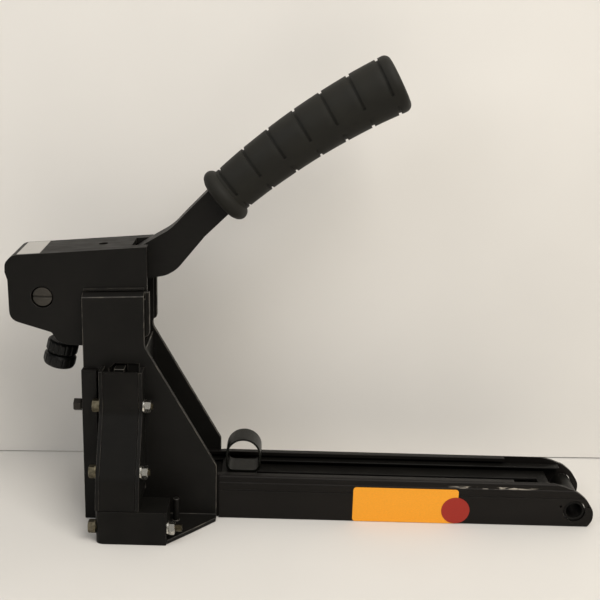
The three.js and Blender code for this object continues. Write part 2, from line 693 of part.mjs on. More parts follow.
function fingerLoop() {
  const ring = (r, low) => {
    const springing = LOOP.top - LOOP.r;
    const arch = Array.from({ length: 19 }, (_, i) => {
      const angle = (Math.PI * i) / 18;
      return [LOOP.x + r * Math.cos(angle), springing + r * Math.sin(angle)];
    });
    return [...arch, [LOOP.x - r, low, r * 0.45], [LOOP.x + r, low, r * 0.45]];
  };
  return cut(
    slab("xz", ring(LOOP.r, LOOP.bottom), -LOOP.half, LOOP.half),
    slab("xz", ring(LOOP.r - LOOP.sheet, LOOP.bottom + LOOP.sheet), -20, 20),
  );
}
addNode("finger_loop", fingerLoop(), FINISH.blackSteel);

addNode(
  "pusher_spring",
  coil(new THREE.Vector3(34, 0, 13), new THREE.Vector3(98.6, 0, 13), 4.2, 0.55, 15),
  FINISH.steel,
);

// origin: the middle of the length, on the sole
const extent = new THREE.Box3().setFromObject(model);
model.position.x = -(extent.min.x + extent.max.x) / 2;
export default model;
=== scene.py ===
"""Finishes, soft parts, small hardware, light and camera for a hand-driven carton closing stapler.

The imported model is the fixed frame. This file gives each of its nodes a finish and a broken edge,
replaces the grip, the screws, the nuts and the return springs with finer pieces in the same places,
and adds three blank labels.
Lengths are in metres in the row frame: X from the nose to the magazine's tail, Z up, near side at -Y.
"""

import math

import bmesh
import bpy
from bpy.props import FloatProperty, FloatVectorProperty, IntProperty, PointerProperty
from mathutils import Matrix, Vector


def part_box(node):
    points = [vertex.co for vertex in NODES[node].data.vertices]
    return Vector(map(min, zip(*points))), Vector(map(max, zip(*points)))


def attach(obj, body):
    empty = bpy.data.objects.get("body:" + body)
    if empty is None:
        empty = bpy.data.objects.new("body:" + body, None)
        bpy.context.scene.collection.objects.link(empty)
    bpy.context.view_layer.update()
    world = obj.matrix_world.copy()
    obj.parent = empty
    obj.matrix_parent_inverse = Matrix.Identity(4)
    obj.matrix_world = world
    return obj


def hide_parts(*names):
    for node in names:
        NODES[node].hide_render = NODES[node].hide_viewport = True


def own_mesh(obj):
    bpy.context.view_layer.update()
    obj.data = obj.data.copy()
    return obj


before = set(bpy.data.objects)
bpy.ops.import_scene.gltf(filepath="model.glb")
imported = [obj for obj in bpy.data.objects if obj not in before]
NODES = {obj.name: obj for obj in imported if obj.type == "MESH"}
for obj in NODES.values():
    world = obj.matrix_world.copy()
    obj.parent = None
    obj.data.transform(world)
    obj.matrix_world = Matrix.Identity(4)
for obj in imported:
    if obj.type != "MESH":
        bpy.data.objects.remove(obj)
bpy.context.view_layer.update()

bl_info = {
    "name": "Carton Stapler Finishes",
    "version": (1, 0, 0),
    "blender": (4, 5, 0),
    "location": "3D View > Sidebar > Stapler",
    "description": "Finishes, grip, screws, labels and studio for a carton closing stapler",
    "category": "Object",
}

MM = 0.001

# The front face of the column, from which the part's sections are measured.
COLUMN_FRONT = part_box("near_side_plate")[0].x + 0.1 * MM


def at(x, y, z):
    """A point given in millimetres from the column's front face, the middle plane and the ground."""
    return Vector((COLUMN_FRONT + x * MM, y * MM, z * MM))


# ---------- colours ----------


def linear(hex_colour):
    """An sRGB hex colour as the linear red, green, blue and alpha that the shaders take."""
    channels = [int(hex_colour[i : i + 2], 16) / 255 for i in (1, 3, 5)]
    lit = [c / 12.92 if c <= 0.04045 else ((c + 0.055) / 1.055) ** 2.4 for c in channels]
    return (*lit, 1.0)


def colour_property(name, description, hex_colour):
    """A colour that a user may change."""
    return FloatVectorProperty(
        name=name,
        description=description,
        default=linear(hex_colour)[:3],
        size=3,
        min=0,
        max=1,
        subtype="COLOR",
    )


def length_property(name, description, millimetres):
    """A length that a user may change."""
    return FloatProperty(
        name=name, description=description, default=millimetres * MM, min=0, unit="LENGTH", precision=5
    )


class StaplerSizes(bpy.types.PropertyGroup):
    """Sizes of the pieces made here."""

    edge_break: length_property("Edge break", "Width of the broken edge on plates and castings", 0.45)
    groove_width: length_property("Groove width", "Width of the grip's finger grooves", 2.1)
    groove_depth: length_property("Groove depth", "Depth of the grip's finger grooves", 1.3)
    groove_pitch: length_property("Groove pitch", "Distance from one grip groove to the next", 20.05)
    thread_pitch: length_property("Thread pitch", "Distance from one screw thread to the next", 0.8)
    hex_chamfer: length_property("Hexagon chamfer", "How far in the corners of hexagons are turned down", 0.55)
    label_thickness: length_property("Label thickness", "Thickness of the paper labels", 0.16)
    grip_segments: IntProperty(
        name="Grip segments", description="Faces around the grip", default=56, min=24, max=128
    )


class StaplerColours(bpy.types.PropertyGroup):
    """Colours of the finishes."""

    coat: colour_property("Coat", "Black stoved coat on the sheet steel and the head", "#12110f")
    oxide: colour_property("Oxide", "Oiled black oxide on the claw housings", "#11100e")
    anodised: colour_property("Anodised", "Black anodising on the magazine rails", "#191715")
    rubber: colour_property("Rubber", "Moulded rubber of the grip", "#191813")
    nylon: colour_property("Nylon", "Black moulded nylon of the adjuster", "#090908")
    zinc: colour_property("Zinc", "Clear passivated zinc on the nuts", "#d6d3ca")
    # the yellow is the passivation's own; its darkness beside the nuts is painted shade on the heads away from
    # the key light on the right
    yellow_zinc: colour_property("Yellow zinc", "Dull yellow passivated zinc on the screw heads", "#6d6654")
    steel: colour_property("Steel", "Ground tool steel", "#a5a39d")
    phosphate: colour_property("Phosphate", "Grey-green phosphated spring steel", "#10110d")
    orange_paper: colour_property("Orange paper", "The large label", "#f2a01e")
    red_paper: colour_property("Red paper", "The round label", "#99200f")
    white_paper: colour_property("White paper", "The label on the head", "#a3a09a")
    board: colour_property("Board", "The pale floor and wall", "#dddad4")


# ---------- node helpers ----------

# The Mix node's colour sockets, which share their names with its other kinds.
MIX_FACTOR, MIX_A, MIX_B, MIX_RESULT = 0, 6, 7, 2


def node(tree, kind, inputs=None, **settings):
    """Adds a shader node: settings are its properties, inputs are values or sockets to link."""
    made = tree.nodes.new("ShaderNode" + kind)
    for name, value in settings.items():
        setattr(made, name, value)
    for name, value in (inputs or {}).items():
        if isinstance(value, bpy.types.NodeSocket):
            tree.links.new(value, made.inputs[name])
        else:
            made.inputs[name].default_value = value
    return made


def surface(name, **constants):
    """A new material with one Principled shader, and its tree and shader."""
    made = bpy.data.materials.new(name)
    made.use_nodes = True
    tree = made.node_tree
    shader = tree.nodes["Principled BSDF"]
    for socket, value in constants.items():
        shader.inputs[socket.replace("_", " ")].default_value = value
    return made, tree, shader


def tint(colour, factor):
    """A colour made lighter or darker, with full alpha."""
    return (*(min(1.0, c * factor) for c in tuple(colour)[:3]), 1.0)


def grain(tree, size, detail=3.0, stretch=(1, 1, 1)):
    """Noise whose lumps are about this many metres across, stretched along the object's axes."""
    place = node(tree, "TexCoord").outputs["Object"]
    scaled = node(tree, "Mapping", {"Vector": place, "Scale": Vector(stretch) / size})
    noise = node(tree, "TexNoise", {"Vector": scaled.outputs[0], "Scale": 1.0, "Detail": detail})
    return noise.outputs["Fac"]


def ramp(tree, factor, low, high, low_colour, high_colour):
    """Two colours blended as a factor goes from low to high."""
    made = node(tree, "ValToRGB", {"Fac": factor})
    first, last = made.color_ramp.elements
    first.position, first.color = low, low_colour
    last.position, last.color = high, high_colour
    return made.outputs["Color"]


def remap(tree, factor, low, high, to_low, to_high):
    """A factor stretched from one range to another."""
    inputs = {"Value": factor, "From Min": low, "From Max": high, "To Min": to_low, "To Max": to_high}
    return node(tree, "MapRange", inputs).outputs["Result"]


def bump(tree, height, depth):
    """A bump of this many metres from a height between 0 and 1."""
    return node(tree, "Bump", {"Height": height, "Strength": 1.0, "Distance": depth}).outputs["Normal"]


def wire(tree, shader, **sockets):
    """Links sockets to the shader's inputs."""
    for name, value in sockets.items():
        tree.links.new(value, shader.inputs[name.replace("_", " ")])


# ---------- finishes ----------


def stoved_coat(name, colour):
    """Stoved black enamel on sheet steel: satin, with a faint orange peel and handled, greyer patches."""
    made, tree, shader = surface(name, Metallic=0.0, Specular_IOR_Level=0.13)
    patches = grain(tree, 38 * MM, 4)
    peel = grain(tree, 1.3 * MM, 2)  # the real peel is about 1 mm from crest to crest
    fibre = grain(tree, 5 * MM, 5, (0.25, 1, 3))
    base = ramp(tree, patches, 0.3, 0.72, tint(colour, 0.82), tint(colour, 1.28))
    rough = remap(tree, fibre, 0.3, 0.75, 0.40, 0.56)
    wire(tree, shader, Base_Color=base, Roughness=rough, Normal=bump(tree, peel, 0.035 * MM))
    return made


def highlit_worn_edge(name, dull, bright):
    """Broken edges painted lighter than the faces, as a painted highlight where the edges catch the light, with
    grey metal rubbed through in spots of a few millimetres.
    """
    made, tree, shader = surface(name, Specular_IOR_Level=0.4)
    spots = grain(tree, 7 * MM, 5)
    base = ramp(tree, spots, 0.42, 0.66, dull, bright)
    metal = remap(tree, spots, 0.45, 0.7, 0.1, 0.6)
    wire(tree, shader, Base_Color=base, Metallic=metal, Roughness=remap(tree, spots, 0.3, 0.7, 0.45, 0.32))
    return made


def black_oxide(name, colour):
    """Oiled black oxide on hardened steel: darker than paint, with a soft metallic sheen and grinding marks."""
    made, tree, shader = surface(name, Metallic=0.2, Specular_IOR_Level=0.13)
    marks = grain(tree, 0.9 * MM, 3, (0.06, 1, 1))  # grinding lines, drawn coarser than the real 0.1 mm
    oil = grain(tree, 22 * MM, 4)
    base = ramp(tree, oil, 0.3, 0.75, tint(colour, 0.8), tint(colour, 1.45))
    wire(
        tree,
        shader,
        Base_Color=base,
        Roughness=remap(tree, oil, 0.3, 0.7, 0.52, 0.40),
        Normal=bump(tree, marks, 0.02 * MM),
    )
    return made


# Where the near rail's outer top edge gets pale patches, a painted highlight of the edge's glint with rubbed
# anodising, in millimetres: along it, down from the top and in from the outer face.
GLINT_SCUFF_ALONG = (252, 316)
GLINT_SCUFF_FADE = 12
GLINT_SCUFF_LOW, GLINT_SCUFF_HIGH = (4.9, 4.3), (3.0, 3.5)
GLINT_SCUFF_IN = (1.5, 1.0)
GLINT_SCUFF_COLOUR = "#b9b2a6"


def anodised_extrusion(name, colour):
    """Black anodised extrusion: die lines run its length, and pale patches on the near outer step are a painted
    highlight of the edge's glint, with rubbed anodising.
    """
    made, tree, shader = surface(name, Metallic=0.5, Specular_IOR_Level=0.2)
    lines = grain(tree, 0.8 * MM, 3, (0.008, 1, 1))
    cloud = grain(tree, 45 * MM, 3, (0.4, 1, 1))
    glint_scuffs = grain(tree, 1.6 * MM, 6, (0.2, 1, 1))
    place = node(tree, "SeparateXYZ", {"Vector": node(tree, "TexCoord").outputs["Object"]})
    low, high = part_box("near_rail")
    first, last = (at(x, 0, 0).x for x in GLINT_SCUFF_ALONG)
    fade = GLINT_SCUFF_FADE * MM
    limits = (
        ("Z", *(high.z - depth * MM for depth in GLINT_SCUFF_LOW)),
        ("Z", *(high.z - depth * MM for depth in GLINT_SCUFF_HIGH)),
        ("Y", *(low.y + depth * MM for depth in GLINT_SCUFF_IN)),
        ("X", first, first + fade),
        ("X", last, last - fade),
    )
    # pale patches on the near rail's outer top edge: painted highlight, with rubbed anodising
    glint_and_wear = remap(tree, glint_scuffs, 0.5, 0.56, 0, 1)
    for axis, none, full in limits:
        band = remap(tree, place.outputs[axis], none, full, 0, 1)
        glint_and_wear = node(tree, "Math", {0: glint_and_wear, 1: band}, operation="MULTIPLY").outputs[0]
    black = ramp(tree, cloud, 0.3, 0.75, tint(colour, 0.85), tint(colour, 1.35))
    mix_in = {MIX_FACTOR: glint_and_wear, MIX_A: black, MIX_B: linear(GLINT_SCUFF_COLOUR)}
    base = node(tree, "Mix", mix_in, data_type="RGBA")
    wire(
        tree,
        shader,
        Base_Color=base.outputs[MIX_RESULT],
        Roughness=remap(tree, lines, 0.3, 0.7, 0.50, 0.36),
        Normal=bump(tree, lines, 0.03 * MM),
    )
    return made


def moulded_rubber(name, colour):
    """Moulded rubber: matte, spark-eroded grain, with greyer bloom and dust where a hand doesn't polish it."""
    made, tree, shader = surface(name, Metallic=0.0, Specular_IOR_Level=0.2, Sheen_Weight=0.02)
    shader.inputs["Sheen Roughness"].default_value = 0.5
    bloom = grain(tree, 24 * MM, 5)
    pores = grain(tree, 0.7 * MM, 3)  # drawn coarser than the real 0.2 mm grain
    base = ramp(tree, bloom, 0.3, 0.72, tint(colour, 0.78), tint(colour, 1.3))
    wire(
        tree,
        shader,
        Base_Color=base,
        Roughness=remap(tree, bloom, 0.3, 0.7, 0.56, 0.74),
        Normal=bump(tree, pores, 0.05 * MM),
    )
    return made


def moulded_nylon(name, colour):
    """Glass filled nylon: deep black with a tight satin highlight and a faint fibre grain."""
    made, tree, shader = surface(name, Metallic=0.0, Specular_IOR_Level=0.2)
    fibres = grain(tree, 0.9 * MM, 4, (1, 1, 0.5))
    base = ramp(tree, fibres, 0.3, 0.75, tint(colour, 0.9), tint(colour, 1.25))
    wire(
        tree,
        shader,
        Base_Color=base,
        Roughness=remap(tree, fibres, 0.3, 0.7, 0.34, 0.46),
        Normal=bump(tree, fibres, 0.02 * MM),
    )
    return made


def bright_metal(name, colour, smooth, rough, stain):
    """Plated or ground steel: bright, brushed unevenly, with stains of this share in its low spots."""
    made, tree, shader = surface(name, Metallic=1.0)
    wear = grain(tree, 2.2 * MM, 5)
    base = ramp(tree, wear, 0.34, 0.62, tint(colour, stain), tint(colour, 1.05))
    wire(
        tree,
        shader,
        Base_Color=base,
        Roughness=remap(tree, wear, 0.3, 0.7, rough, smooth),
        Normal=bump(tree, wear, 0.015 * MM),
    )
    return made


def phosphated_steel(name, colour):
    """Phosphated spring steel: grey-green crystals under oil, with a broad soft sheen."""
    made, tree, shader = surface(name, Metallic=0.5, Specular_IOR_Level=0.25)
    crystals = grain(tree, 1.2 * MM, 5)
    oil = grain(tree, 14 * MM, 3)
    base = ramp(tree, oil, 0.3, 0.7, tint(colour, 0.7), tint(colour, 1.2))
    wire(
        tree,
        shader,
        Base_Color=base,
        Roughness=remap(tree, crystals, 0.3, 0.7, 0.30, 0.44),
        Normal=bump(tree, crystals, 0.012 * MM),
    )
    return made


def coated_paper(name, colour):
    """Semi-gloss label paper: even colour, a faint mottle of fibres and a little cockle from the glue."""
    made, tree, shader = surface(name, Metallic=0.0, Specular_IOR_Level=0.45)
    fibres = grain(tree, 1.5 * MM, 4, (1, 1, 1.8))
    cockle = grain(tree, 14 * MM, 2)
    base = ramp(tree, fibres, 0.3, 0.75, tint(colour, 0.94), tint(colour, 1.05))
    wire(
        tree,
        shader,
        Base_Color=base,
        Roughness=remap(tree, fibres, 0.3, 0.7, 0.42, 0.52),
        Normal=bump(tree, cockle, 0.10 * MM),
    )
    return made


def laminate_board(name, colour):
    """Pale laminate board: nearly even, with a broad soft mottle and a dull sheen."""
    made, tree, shader = surface(name, Metallic=0.0, Specular_IOR_Level=0.2, Roughness=0.7)
    mottle = grain(tree, 160 * MM, 2)
    wire(tree, shader, Base_Color=ramp(tree, mottle, 0.3, 0.7, tint(colour, 0.97), tint(colour, 1.03)))
    return made


# ---------- mesh helpers ----------


def deselect():
    """Leaves nothing selected, so that the next operator acts only on what it makes."""
    if bpy.context.object and bpy.context.object.mode != "OBJECT":
        bpy.ops.object.mode_set(mode="OBJECT")
    bpy.ops.object.select_all(action="DESELECT")


def named(name):
    """Names the piece just added, puts its place in its mesh and returns it."""
    made = bpy.context.object
    made.name = name
    made.data.name = name
    bpy.ops.object.transform_apply(location=True, rotation=True, scale=True)
    return made


def rod(name, radius, length, sides, start=0.0):
    """A cylinder along X from a start."""
    deselect()
    bpy.ops.mesh.primitive_cylinder_add(
        vertices=sides,
        radius=radius,
        depth=length,
        location=(start + length / 2, 0, 0),
        rotation=(0, math.pi / 2, 0),
    )
    return named(name)


def disc(name, radius, sides):
    """A flat disc across X at 0."""
    deselect()
    bpy.ops.mesh.primitive_circle_add(
        vertices=sides, radius=radius, fill_type="NGON", rotation=(0, math.pi / 2, 0)
    )
    return named(name)


def carry_on(here, ahead, growth):
    """In edit mode, extrudes the selected end along X from here to ahead, and scales it about the axis."""
    bpy.ops.mesh.extrude_region_move(TRANSFORM_OT_translate={"value": (ahead - here, 0, 0)})
    bpy.ops.transform.resize(value=(1, growth, growth), center_override=(ahead, 0, 0))


def pick_faces(piece, wanted):
    """In edit mode, selects the faces that a test accepts."""
    bpy.ops.mesh.select_mode(type="FACE")
    bpy.ops.mesh.select_all(action="DESELECT")
    mesh = bmesh.from_edit_mesh(piece.data)
    chosen = [face for face in mesh.faces if wanted(face)]
    if not chosen:
        raise RuntimeError(f"{piece.name} has no such faces")
    for face in chosen:
        face.select_set(True)
    bmesh.update_edit_mesh(piece.data)


def outwards(piece):
    """Turns a closed piece's normals outwards and leaves edit mode."""
    bpy.ops.mesh.select_all(action="SELECT")
    bpy.ops.mesh.normals_make_consistent(inside=False)
    bpy.ops.object.mode_set(mode="OBJECT")


def modified(piece, kind, **settings):
    """Adds a modifier, sets it and applies it."""
    bpy.context.view_layer.objects.active = piece
    made = piece.modifiers.new(kind.title(), kind)
    for name, value in settings.items():
        setattr(made, name, value)
    bpy.ops.object.modifier_apply(modifier=made.name)


def finished(piece, material, body, slot, *stands_for, smooth_below=38):
    """Shades a piece, gives it its finish and its body, and hides the nodes that it stands for."""
    deselect()
    piece.select_set(True)
    bpy.context.view_layer.objects.active = piece
    bpy.ops.object.shade_smooth_by_angle(angle=math.radians(smooth_below))
    piece.data.materials.clear()
    piece.data.materials.append(material)
    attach(piece, body)
    if stands_for:
        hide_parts(*stands_for)
    piece.select_set(False)
    return piece


def copied(piece, name, place):
    """A copy of a piece with its own mesh, moved by a matrix."""
    made = bpy.data.objects.new(name, piece.data.copy())
    made.data.name = name
    made.data.transform(place)
    bpy.context.scene.collection.objects.link(made)
    return made


def removed(*pieces):
    """Takes away helpers that were only needed on the way."""
    for piece in pieces:
        data = piece.data
        bpy.data.objects.remove(piece)
        (bpy.data.curves if isinstance(data, bpy.types.Curve) else bpy.data.meshes).remove(data)


# ---------- finishes on the frame's own nodes ----------

# The ends of nodes' names, with the finish of their faces and of their broken edges.
NODE_FINISHES = (
    (("head_housing", "front_block", "lever_arm", "side_plate"), "coat", "coat_edge"),
    (("front_claw_plate", "rear_claw_plate"), "coat", "coat_edge"),
    (("ram", "claw_cover", "foot_block", "guide_plate", "column_plate", "driver_guide"), "oxide", "oxide_edge"),
    # parts inside the magazine: the oxide darkened as painted shade, with no lighter edges
    (("rail_liner", "magazine_core", "tail_spacer", "pusher"), "lacquer", "lacquer"),
    (("_rail",), "anodised", "anodised_edge"),
    (("pivot_screw", "pivot_nut", "front_stop_screw", "front_stop_locknut"), "screw", "screw"),
    (("finger_loop",), "phosphate", "phosphate"),
    (("adjuster_knob", "adjuster_lock_ring"), "nylon", "nylon"),
    (("pusher_spring",), "zinc", "zinc"),
    (("driver_blade", "_claw", "claw_pin", "roller_pin", "lever_roller", "adjuster_screw"), "steel", "steel"),
    (("",), "oxide", "oxide"),  # the nodes that a finer piece stands for
)
HIGHLIT_WORN_COAT = ("#2a2825", "#5c5850")  # dull and bright, both lighter than the faces: a painted highlight on the broken edges, with rubbed spots
HIGHLIT_WORN_OXIDE = ("#282623", "#5a564f")
HIGHLIT_WORN_ANODISED = ("#2a2826", "#4e4a44")
SCREW_BLACK = "#3a3732"
INSIDE_PAINTED_SHADE = 0.85  # painted shade: the parts inside the magazine take the oxide darkened to this share of its brightness

JOIN_GAP = 0.004 * MM
FLAT_ANGLE = math.radians(0.4)
SHARP_ANGLE = math.radians(40)
FLAT_FACE_WEIGHT = 60


class STAPLER_OT_frame_finishes(bpy.types.Operator):
    """Gives every node of the frame its finish and breaks its sharp edges"""

    bl_idname = "stapler.frame_finishes"
    bl_label = "Frame finishes"

    def execute(self, context):
        finishes = self.make_finishes(context.scene.stapler_colours)
        for name, piece in NODES.items():
            faces, edges = next(kinds for ends, *kinds in NODE_FINISHES if name.endswith(ends))
            mesh = piece.data
            mesh.materials.clear()
            mesh.materials.append(finishes[faces])
            mesh.materials.append(finishes[edges])
            mesh.polygons.foreach_set("material_index", [0] * len(mesh.polygons))
            mesh.polygons.foreach_set("use_smooth", [True] * len(mesh.polygons))
            self.break_edges(piece, context.scene.stapler_sizes.edge_break, is_wire=name.endswith("spring"))
        return {"FINISHED"}

    @staticmethod
    def make_finishes(colours):
        """The frame's finishes by the names that NODE_FINISHES uses."""
        return {
            "coat": stoved_coat("stoved_black_enamel", colours.coat),
            "coat_edge": highlit_worn_edge("worn_enamel_edge", *map(linear, HIGHLIT_WORN_COAT)),
            "oxide": black_oxide("oiled_black_oxide_steel", colours.oxide),
            "oxide_edge": highlit_worn_edge("worn_oxide_edge", *map(linear, HIGHLIT_WORN_OXIDE)),
            "anodised_edge": highlit_worn_edge("worn_anodised_edge", *map(linear, HIGHLIT_WORN_ANODISED)),
            "screw": black_oxide("oiled_black_screw_steel", linear(SCREW_BLACK)),
            # the oxide darkened as painted shade, for the parts inside the magazine
            "lacquer": black_oxide("dull_black_lacquered_steel", tint(colours.oxide, INSIDE_PAINTED_SHADE)),
            "anodised": anodised_extrusion("black_anodised_aluminium", colours.anodised),
            "phosphate": phosphated_steel("phosphated_spring_steel", colours.phosphate),
            "nylon": moulded_nylon("glass_filled_black_nylon", colours.nylon),
            "zinc": bright_metal("zinc_plated_wire", colours.zinc, 0.26, 0.42, 0.6),
            "steel": bright_metal("ground_tool_steel", colours.steel, 0.26, 0.4, 0.55),
        }

    @staticmethod
    def break_edges(piece, width, is_wire):
        """Live modifiers that join a node's loose triangles and round its sharp edges, if it has any."""
        weld = piece.modifiers.new("Join triangles", "WELD")
        weld.merge_threshold = JOIN_GAP
        if not is_wire:
            flat = piece.modifiers.new("Flat faces", "DECIMATE")
            flat.decimate_type = "DISSOLVE"
            flat.angle_limit = FLAT_ANGLE
            bevel = piece.modifiers.new("Broken edges", "BEVEL")
            bevel.width = width
            bevel.segments = 2
            bevel.limit_method = "ANGLE"
            bevel.angle_limit = SHARP_ANGLE
            bevel.use_clamp_overlap = True
            # the broken edges take the lighter finish: a painted highlight, with rubbed spots
            bevel.material = 1
        level = piece.modifiers.new("Level shading", "WEIGHTED_NORMAL")
        level.weight = FLAT_FACE_WEIGHT
        level.keep_sharp = False


# ---------- grip ----------

GRIP_COLLAR = 10.4 * MM  # length of the rounded collar
COLLAR_RADIUS = 14 * MM
COLLAR_RISE = 5.6 * MM
GRIP_RADIUS = 15.6 * MM  # at the collar
GRIP_SWELL = 4.3 * MM  # more at the end
END_ROUNDING = 5 * MM
GRIP_FLATNESS = 0.92  # width over height
FIRST_GROOVE = 13.4 * MM
GROOVES = 7
BRIDGE = (-0.62, -0.2)  # where a groove is left out on each flank, as shares of the radius
MOULD_EDGE = 0.4 * MM
MOULD_ANGLE = math.radians(42)
PLUG_RIM, PLUG_STEP, PLUG_DEPTH = 3 * MM, 0.8 * MM, 0.9 * MM
COLLAR_RINGS = 14
END_RINGS = 8
ROUTE_STEPS = 16
# The grip's centreline, from the collar to the end, as the frame's grip has it.
GRIP_ROUTE = [(89.3, 222.6), (114.1, 244.5), (146.3, 269.1), (180.6, 290.9), (205.6, 304.3)]


def smooth_route(points, steps):
    """A centripetal Catmull-Rom curve through the points, with its ends carried on straight."""
    ends = [2 * points[0] - points[1], *points, 2 * points[-1] - points[-2]]
    route = []
    for four in zip(ends, ends[1:], ends[2:], ends[3:]):
        knots = [0.0]
        for start, end in zip(four, four[1:]):
            knots.append(knots[-1] + math.sqrt((end - start).length))
        for step in range(steps):
            t = knots[1] + (knots[2] - knots[1]) * step / steps
            first = [blended(four[i], four[i + 1], knots[i], knots[i + 1], t) for i in range(3)]
            second = [blended(first[i], first[i + 1], knots[i], knots[i + 2], t) for i in range(2)]
            route.append(blended(*second, knots[1], knots[2], t))
    return [*route, points[-1]]


def blended(start, end, low, high, t):
    """The point between two points that t is between low and high."""
    return start.lerp(end, (t - low) / (high - low))


def grip_radius(distance, length):
    """The grip's radius along its length: a rounded collar, then a body that swells to its rounded end."""
    body = GRIP_RADIUS + GRIP_SWELL * distance / length
    across = distance / (GRIP_COLLAR / 2) - 1
    collar = COLLAR_RADIUS + COLLAR_RISE * math.sqrt(max(0, 1 - across**2)) if across < 1 else 0
    left = (length - distance) / END_ROUNDING
    rounding = END_ROUNDING * (1 - math.sqrt(max(0, 1 - (1 - left) ** 2))) if left < 1 else 0
    return max(body - rounding, collar)


class STAPLER_OT_grip(bpy.types.Operator):
    """Makes the moulded rubber grip with its finger grooves"""

    bl_idname = "stapler.grip"
    bl_label = "Rubber grip"

    def execute(self, context):
        sizes = context.scene.stapler_sizes
        route = smooth_route([at(x, 0, z) for x, z in GRIP_ROUTE], ROUTE_STEPS)
        length = sum((b - a).length for a, b in zip(route, route[1:]))
        grooves = [FIRST_GROOVE + i * sizes.groove_pitch for i in range(GROOVES)]
        piece = self.straight_blank(sizes, length, grooves)
        for groove in grooves:
            self.cut_groove(piece, sizes, groove, length)
        self.dish_end(piece, length)
        bpy.ops.mesh.select_all(action="SELECT")
        bpy.ops.transform.resize(value=(1, GRIP_FLATNESS, 1), center_override=(0, 0, 0))
        outwards(piece)
        modified(
            piece, "BEVEL", width=MOULD_EDGE, segments=2, limit_method="ANGLE", angle_limit=MOULD_ANGLE
        )
        self.bend(piece, route)
        rubber = moulded_rubber("moulded_black_rubber", context.scene.stapler_colours.rubber)
        finished(piece, rubber, "lever", "rubber", "lever_grip")
        return {"FINISHED"}

    @staticmethod
    def straight_blank(sizes, length, grooves):
        """The grip before it is bent: a turned blank along X with a ring at each edge of each groove."""
        half = sizes.groove_width / 2
        collar = [GRIP_COLLAR * (1 - math.cos(math.pi * i / COLLAR_RINGS)) / 2 for i in range(COLLAR_RINGS + 1)]
        edges = [edge for groove in grooves for edge in (groove - half, groove + half)]
        between = [
            groove + half + (sizes.groove_pitch - 2 * half) * share
            for groove in grooves[:-1]
            for share in (0.25, 0.5, 0.75)
        ]
        end = [
            length - END_ROUNDING * (1 - math.sin(math.pi * i / (2 * END_RINGS))) for i in range(END_RINGS + 1)
        ]
        stations = sorted([*collar, *edges, *between, *end])
        piece = disc("rubber_grip", grip_radius(0, length), sizes.grip_segments)
        bpy.ops.object.mode_set(mode="EDIT")
        bpy.ops.mesh.select_all(action="SELECT")
        for here, ahead in zip(stations, stations[1:]):
            carry_on(here, ahead, grip_radius(ahead, length) / grip_radius(here, length))
        return piece

    @staticmethod
    def cut_groove(piece, sizes, groove, length):
        """Sinks the ring of faces between a groove's edges, apart from a bridge low on each flank."""
        radius = grip_radius(groove, length)

        def in_groove(face):
            centre = face.calc_center_median()
            around = abs(centre.x - groove) < sizes.groove_width / 4 and abs(face.normal.x) < 0.5
            return around and not BRIDGE[0] < centre.z / radius < BRIDGE[1]

        pick_faces(piece, in_groove)
        bpy.ops.mesh.extrude_region_move()
        sink = (radius - sizes.groove_depth) / radius
        bpy.ops.transform.resize(value=(1, sink, sink), center_override=(groove, 0, 0))

    @staticmethod
    def dish_end(piece, length):
        """Sinks the middle of the end face a little, as a moulded end plug does."""
        last = length - 0.1 * MM
        pick_faces(piece, lambda face: face.normal.x > 0.99 and face.calc_center_median().x > last)
        bpy.ops.mesh.inset(thickness=PLUG_RIM)
        bpy.ops.mesh.inset(thickness=PLUG_STEP)
        bpy.ops.transform.translate(value=(-PLUG_DEPTH, 0, 0))

    @staticmethod
    def bend(piece, route):
        """Bends the straight blank along the grip's centreline."""
        line = bpy.data.curves.new("grip_line", "CURVE")
        line.dimensions = "3D"
        line.twist_mode = "Z_UP"
        spline = line.splines.new("POLY")
        spline.points.add(len(route) - 1)
        for point, place in zip(spline.points, route):
            point.co = (*place, 1)
        guide = bpy.data.objects.new("grip_line", line)
        bpy.context.scene.collection.objects.link(guide)
        modified(piece, "CURVE", object=guide, deform_axis="POS_X")
        removed(guide)


# ---------- screws and nuts ----------

BOLT_NODES = [f"{side}_{place}" for side in ("near", "far") for place in ("upper", "middle", "lower")]
CORNERS = 6
FLATS_RADIUS = 4 * MM  # half of the width across the flats
CORNER_RADIUS = FLATS_RADIUS / math.cos(math.pi / CORNERS)
CHAMFER_START = 0.96  # radius of the turned end face, as a share of the flats' radius
HEAD_THICKNESS = 3.9 * MM
WASHER_THICKNESS = 1.1 * MM
WASHER_RADIUS = 4.7 * MM
SHANK_RADIUS = 2.42 * MM
THREAD_DEPTH = 0.36 * MM
THREAD_LENGTH = 7 * MM  # from the nut's outer end back towards the head
BORE_RADIUS = 2.5 * MM
SMOOTH_METAL = 30  # degrees below which hexagons and washers are shaded smooth


def hex_blank(name, thickness, sizes, both_ends):
    """A hexagon along X from 0 to thickness, its corners turned down to a circle across the flats."""
    piece = rod(name, CORNER_RADIUS, thickness, CORNERS)
    rim = CORNER_RADIUS + 0.1 * MM  # the envelope clears the corners, and a plain end by 1 mm
    face_radius = FLATS_RADIUS * CHAMFER_START
    end = thickness + (0 if both_ends else 1 * MM)
    envelope = disc("turned_envelope", face_radius, 48)
    bpy.ops.object.mode_set(mode="EDIT")
    bpy.ops.mesh.select_all(action="SELECT")
    carry_on(0, sizes.hex_chamfer, rim / face_radius)
    carry_on(sizes.hex_chamfer, end - sizes.hex_chamfer, 1)
    if both_ends:
        carry_on(end - sizes.hex_chamfer, end, face_radius / rim)
    outwards(envelope)
    modified(piece, "BOOLEAN", operation="INTERSECT", object=envelope, solver="EXACT")
    removed(envelope)
    return piece


